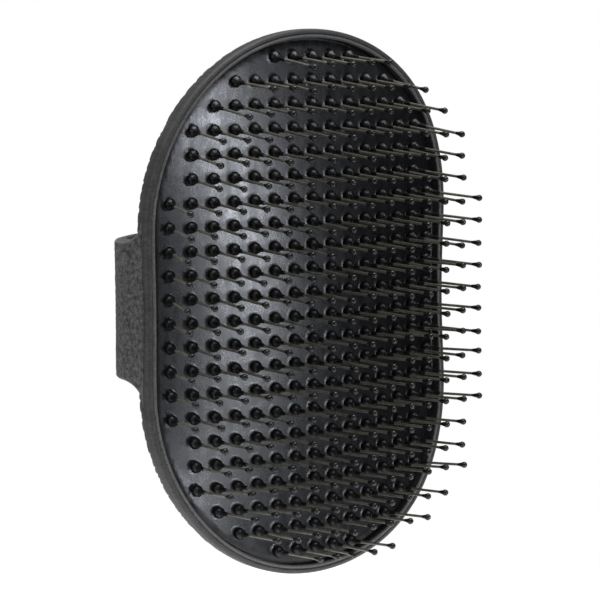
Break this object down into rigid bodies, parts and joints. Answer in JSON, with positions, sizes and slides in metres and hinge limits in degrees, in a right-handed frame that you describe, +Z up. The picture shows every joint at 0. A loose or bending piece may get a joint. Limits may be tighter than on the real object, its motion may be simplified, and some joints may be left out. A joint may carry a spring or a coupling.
{
  "type": "curry comb",
  "caption": "Oval rubber grooming pad with a field of ball-tipped wire pins in rubber bosses and a fixed rubber hand strap over its rounded back.",
  "frame": {"origin": "middle of the space under the strap, at the mount hand_loop, where a hand or a hook holds the pad upright", "axes": "+Z up along the long axis of the oval, +X across it, -Y the way the pins point, +Y towards the strap over the back"},
  "size_m": [0.0912, 0.055, 0.1304],
  "materials": {
    "cover_rubber": "semi-matt moulded rubber with a fine grain",
    "strap_rubber": "pebble-grained moulded rubber",
    "pad_rubber": "smooth satin rubber",
    "backing": "plain sheet",
    "pin_steel": "drawn wire",
    "tip_resin": "glossy dipped bead"
  },
  "bodies": {
    "grip": {"back_cover": "cover_rubber", "hand_strap": "strap_rubber", "backing_sheet": "backing", "pin_pad": "pad_rubber"},
    "pins_01": {"pin_column_01": "pin_steel", "pin_tips_01": "tip_resin"},
    "pins_02": {"pin_column_02": "pin_steel", "pin_tips_02": "tip_resin"},
    "pins_03": {"pin_column_03": "pin_steel", "pin_tips_03": "tip_resin"},
    "pins_04": {"pin_column_04": "pin_steel", "pin_tips_04": "tip_resin"},
    "pins_05": {"pin_column_05": "pin_steel", "pin_tips_05": "tip_resin"},
    "pins_06": {"pin_column_06": "pin_steel", "pin_tips_06": "tip_resin"},
    "pins_07": {"pin_column_07": "pin_steel", "pin_tips_07": "tip_resin"},
    "pins_08": {"pin_column_08": "pin_steel", "pin_tips_08": "tip_resin"},
    "pins_09": {"pin_column_09": "pin_steel", "pin_tips_09": "tip_resin"},
    "pins_10": {"pin_column_10": "pin_steel", "pin_tips_10": "tip_resin"},
    "pins_11": {"pin_column_11": "pin_steel", "pin_tips_11": "tip_resin"},
    "pins_12": {"pin_column_12": "pin_steel", "pin_tips_12": "tip_resin"},
    "pins_13": {"pin_column_13": "pin_steel", "pin_tips_13": "tip_resin"},
    "pins_14": {"pin_column_14": "pin_steel", "pin_tips_14": "tip_resin"},
    "pins_15": {"pin_column_15": "pin_steel", "pin_tips_15": "tip_resin"}
  },
  "joints": [
    {"name": "pin_rock_01", "type": "hinge", "parent": "grip", "child": "pins_01", "pos_m": [-0.03977, -0.0177, 0], "axis": [0, 0, 1], "range_deg": [-4, 4], "stiffness_Nm_per_rad": 0.02},
    {"name": "pin_rock_02", "type": "hinge", "parent": "grip", "child": "pins_02", "pos_m": [-0.03404, -0.01928, 0], "axis": [0, 0, 1], "range_deg": [-4, 4], "stiffness_Nm_per_rad": 0.02},
    {"name": "pin_rock_03", "type": "hinge", "parent": "grip", "child": "pins_03", "pos_m": [-0.02831, -0.02024, 0], "axis": [0, 0, 1], "range_deg": [-4, 4], "stiffness_Nm_per_rad": 0.02},
    {"name": "pin_rock_04", "type": "hinge", "parent": "grip", "child": "pins_04", "pos_m": [-0.02267, -0.02097, 0], "axis": [0, 0, 1], "range_deg": [-4, 4], "stiffness_Nm_per_rad": 0.02},
    {"name": "pin_rock_05", "type": "hinge", "parent": "grip", "child": "pins_05", "pos_m": [-0.01699, -0.02142, 0], "axis": [0, 0, 1], "range_deg": [-4, 4], "stiffness_Nm_per_rad": 0.02},
    {"name": "pin_rock_06", "type": "hinge", "parent": "grip", "child": "pins_06", "pos_m": [-0.01129, -0.02176, 0], "axis": [0, 0, 1], "range_deg": [-4, 4], "stiffness_Nm_per_rad": 0.02},
    {"name": "pin_rock_07", "type": "hinge", "parent": "grip", "child": "pins_07", "pos_m": [-0.00565, -0.02194, 0], "axis": [0, 0, 1], "range_deg": [-4, 4], "stiffness_Nm_per_rad": 0.02},
    {"name": "pin_rock_08", "type": "hinge", "parent": "grip", "child": "pins_08", "pos_m": [0, -0.02199, 0], "axis": [0, 0, 1], "range_deg": [-4, 4], "stiffness_Nm_per_rad": 0.02},
    {"name": "pin_rock_09", "type": "hinge", "parent": "grip", "child": "pins_09", "pos_m": [0.00566, -0.02194, 0], "axis": [0, 0, 1], "range_deg": [-4, 4], "stiffness_Nm_per_rad": 0.02},
    {"name": "pin_rock_10", "type": "hinge", "parent": "grip", "child": "pins_10", "pos_m": [0.01136, -0.02176, 0], "axis": [0, 0, 1], "range_deg": [-4, 4], "stiffness_Nm_per_rad": 0.02},
    {"name": "pin_rock_11", "type": "hinge", "parent": "grip", "child": "pins_11", "pos_m": [0.01702, -0.02141, 0], "axis": [0, 0, 1], "range_deg": [-4, 4], "stiffness_Nm_per_rad": 0.02},
    {"name": "pin_rock_12", "type": "hinge", "parent": "grip", "child": "pins_12", "pos_m": [0.0227, -0.02095, 0], "axis": [0, 0, 1], "range_deg": [-4, 4], "stiffness_Nm_per_rad": 0.02},
    {"name": "pin_rock_13", "type": "hinge", "parent": "grip", "child": "pins_13", "pos_m": [0.02842, -0.02023, 0], "axis": [0, 0, 1], "range_deg": [-4, 4], "stiffness_Nm_per_rad": 0.02},
    {"name": "pin_rock_14", "type": "hinge", "parent": "grip", "child": "pins_14", "pos_m": [0.0341, -0.01926, 0], "axis": [0, 0, 1], "range_deg": [-4, 4], "stiffness_Nm_per_rad": 0.02},
    {"name": "pin_rock_15", "type": "hinge", "parent": "grip", "child": "pins_15", "pos_m": [0.03983, -0.01771, 0], "axis": [0, 0, 1], "range_deg": [-4, 4], "stiffness_Nm_per_rad": 0.02}
  ]
}
